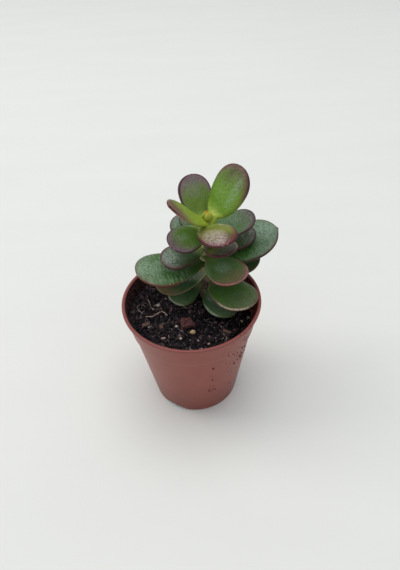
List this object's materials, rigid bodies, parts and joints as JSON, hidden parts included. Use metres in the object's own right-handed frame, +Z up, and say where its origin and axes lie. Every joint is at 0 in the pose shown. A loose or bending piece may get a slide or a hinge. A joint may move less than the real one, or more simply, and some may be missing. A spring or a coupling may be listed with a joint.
{
  "type": "potted jade plant",
  "caption": "Young jade plant with fleshy paired leaves on one short stem, in a small tapered plastic nursery pot filled with potting mix.",
  "frame": {"origin": "middle of the pot's base, on the surface that the pot stands on", "axes": "+Z up along the pot's axis; -Y is the front, the side that the plant is seen from; +X is to the right seen from the front"},
  "size_m": [0.0679, 0.0601, 0.1058],
  "materials": {
    "pot_plastic": "satin",
    "potting_mix": "matte",
    "stem": "matte",
    "bud": "satin",
    "young_leaf": "satin",
    "leaf": "satin",
    "bark": "matte",
    "pebble": "matte",
    "perlite": "matte",
    "wood_chip": "matte",
    "root_fibre": "matte"
  },
  "bodies": {
    "root": {"pot": "pot_plastic", "soil": "potting_mix", "stem": "stem", "bud": "bud", "leaf_01": "young_leaf", "leaf_02": "young_leaf", "leaf_03": "young_leaf", "leaf_04": "young_leaf", "leaf_05": "leaf", "leaf_06": "leaf", "leaf_07": "leaf", "leaf_08": "leaf", "leaf_09": "leaf", "leaf_10": "leaf", "leaf_11": "leaf", "leaf_12": "leaf", "leaf_13": "leaf", "leaf_14": "leaf", "leaf_15": "leaf", "leaf_16": "leaf", "leaf_17": "leaf", "leaf_18": "leaf", "leaf_19": "leaf", "leaf_20": "leaf", "bark_chip": "bark", "pebble": "pebble", "perlite_01": "perlite", "perlite_02": "perlite", "perlite_03": "perlite", "perlite_04": "perlite", "perlite_05": "perlite", "wood_chip_01": "wood_chip", "wood_chip_02": "wood_chip", "wood_chip_03": "wood_chip", "root_fibre_01": "root_fibre", "root_fibre_02": "root_fibre", "root_fibre_03": "root_fibre"}
  },
  "joints": []
}
